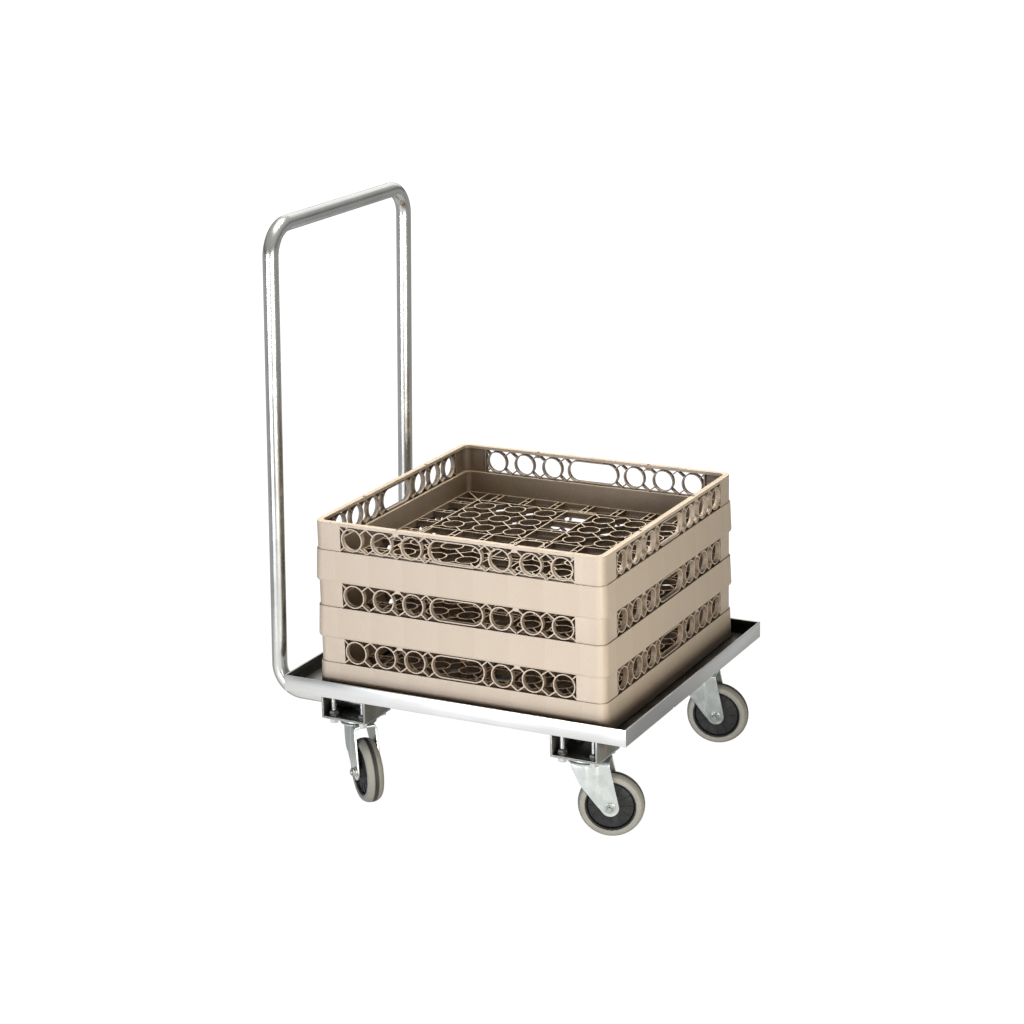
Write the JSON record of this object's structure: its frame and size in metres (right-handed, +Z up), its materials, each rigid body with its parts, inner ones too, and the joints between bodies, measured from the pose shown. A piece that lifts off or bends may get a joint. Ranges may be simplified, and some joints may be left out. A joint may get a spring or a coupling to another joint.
{
  "type": "dish rack dolly",
  "caption": "Sheet-steel tray dolly on swivel casters with a bent-tube push handle, carrying a stack of square open-base dish racks with ring lattice walls.",
  "frame": {"origin": "middle of the whole outline at floor level", "axes": "+X along the tray away from the push handle, +Y to the back edge, +Z up"},
  "size_m": [0.6521, 0.5604, 0.9235],
  "materials": {
    "tray_steel": "satin stainless sheet",
    "handle_steel": "polished stainless tube",
    "bracket_steel": "dull stainless sheet in shadow",
    "zinc_steel": "zinc-plated pressed steel",
    "fork_zinc": "zinc-plated pressed steel",
    "bolt_steel": "bright zinc-plated fasteners",
    "dark_nut": "dark flange nuts",
    "hub_plastic": "black moulded plastic",
    "tyre_rubber": "grey rubber",
    "rack_plastic": "beige moulded polypropylene with a fine grain"
  },
  "bodies": {
    "dolly": {"tray": "tray_steel", "push_handle": "handle_steel", "bracket_fl": "bracket_steel", "bracket_fr": "bracket_steel", "bracket_rl": "bracket_steel", "bracket_rr": "bracket_steel", "top_plate_fl": "zinc_steel", "top_plate_fr": "zinc_steel", "top_plate_rl": "zinc_steel", "top_plate_rr": "zinc_steel", "race_fl": "zinc_steel", "race_fr": "zinc_steel", "race_rl": "zinc_steel", "race_rr": "zinc_steel", "kingpin_fl": "zinc_steel", "kingpin_fr": "zinc_steel", "kingpin_rl": "zinc_steel", "kingpin_rr": "zinc_steel", "plate_bolts_fl": "bolt_steel", "plate_bolts_fr": "bolt_steel", "plate_bolts_rl": "bolt_steel", "plate_bolts_rr": "bolt_steel", "plate_nuts_fl": "dark_nut", "plate_nuts_fr": "dark_nut", "plate_nuts_rl": "dark_nut", "plate_nuts_rr": "dark_nut"},
    "swivel_front_left": {"fork_fl": "fork_zinc", "axle_sleeve_fl": "zinc_steel", "axle_bolt_fl": "bolt_steel", "axle_nut_fl": "bolt_steel"},
    "wheel_front_left": {"hub_fl": "hub_plastic", "tyre_fl": "tyre_rubber"},
    "swivel_front_right": {"fork_fr": "fork_zinc", "axle_sleeve_fr": "zinc_steel", "axle_bolt_fr": "bolt_steel", "axle_nut_fr": "bolt_steel"},
    "wheel_front_right": {"hub_fr": "hub_plastic", "tyre_fr": "tyre_rubber"},
    "swivel_rear_left": {"fork_rl": "fork_zinc", "axle_sleeve_rl": "zinc_steel", "axle_bolt_rl": "bolt_steel", "axle_nut_rl": "bolt_steel"},
    "wheel_rear_left": {"hub_rl": "hub_plastic", "tyre_rl": "tyre_rubber"},
    "swivel_rear_right": {"fork_rr": "fork_zinc", "axle_sleeve_rr": "zinc_steel", "axle_bolt_rr": "bolt_steel", "axle_nut_rr": "bolt_steel"},
    "wheel_rear_right": {"hub_rr": "hub_plastic", "tyre_rr": "tyre_rubber"},
    "rack_bottom": {"rack_bottom": "rack_plastic"},
    "rack_middle": {"rack_middle": "rack_plastic"},
    "rack_top": {"rack_top": "rack_plastic"}
  },
  "joints": [
    {"name": "swivel_front_left", "type": "hinge", "parent": "dolly", "child": "swivel_front_left", "pos_m": [-0.16658, -0.21433, 0.125], "axis": [0, 0, 1], "continuous": true},
    {"name": "wheel_front_left_spin", "type": "hinge", "parent": "swivel_front_left", "child": "wheel_front_left", "pos_m": [-0.13908, -0.23909, 0.052], "axis": [-0.6691, -0.7431, 0], "continuous": true},
    {"name": "swivel_front_right", "type": "hinge", "parent": "dolly", "child": "swivel_front_right", "pos_m": [0.23842, -0.21433, 0.125], "axis": [0, 0, 1], "continuous": true},
    {"name": "wheel_front_right_spin", "type": "hinge", "parent": "swivel_front_right", "child": "wheel_front_right", "pos_m": [0.27361, -0.2029, 0.052], "axis": [0.309, -0.9511, 0], "continuous": true},
    {"name": "swivel_rear_left", "type": "hinge", "parent": "dolly", "child": "swivel_rear_left", "pos_m": [-0.16658, 0.21016, 0.125], "axis": [0, 0, 1], "continuous": true},
    {"name": "wheel_rear_left_spin", "type": "hinge", "parent": "swivel_rear_left", "child": "wheel_rear_left", "pos_m": [-0.13084, 0.20059, 0.052], "axis": [-0.2588, -0.9659, 0], "continuous": true},
    {"name": "swivel_rear_right", "type": "hinge", "parent": "dolly", "child": "swivel_rear_right", "pos_m": [0.23842, 0.21016, 0.125], "axis": [0, 0, 1], "continuous": true},
    {"name": "wheel_rear_right_spin", "type": "hinge", "parent": "swivel_rear_right", "child": "wheel_rear_right", "pos_m": [0.27475, 0.21723, 0.052], "axis": [0.1908, -0.9816, 0], "continuous": true},
    {"name": "rack_bottom_lift", "type": "slide", "parent": "dolly", "child": "rack_bottom", "axis": [0, 0, 1], "range_m": [0, 0.25]},
    {"name": "rack_middle_lift", "type": "slide", "parent": "rack_bottom", "child": "rack_middle", "axis": [0, 0, 1], "range_m": [0, 0.25]},
    {"name": "rack_top_lift", "type": "slide", "parent": "rack_middle", "child": "rack_top", "axis": [0, 0, 1], "range_m": [0, 0.25]}
  ]
}
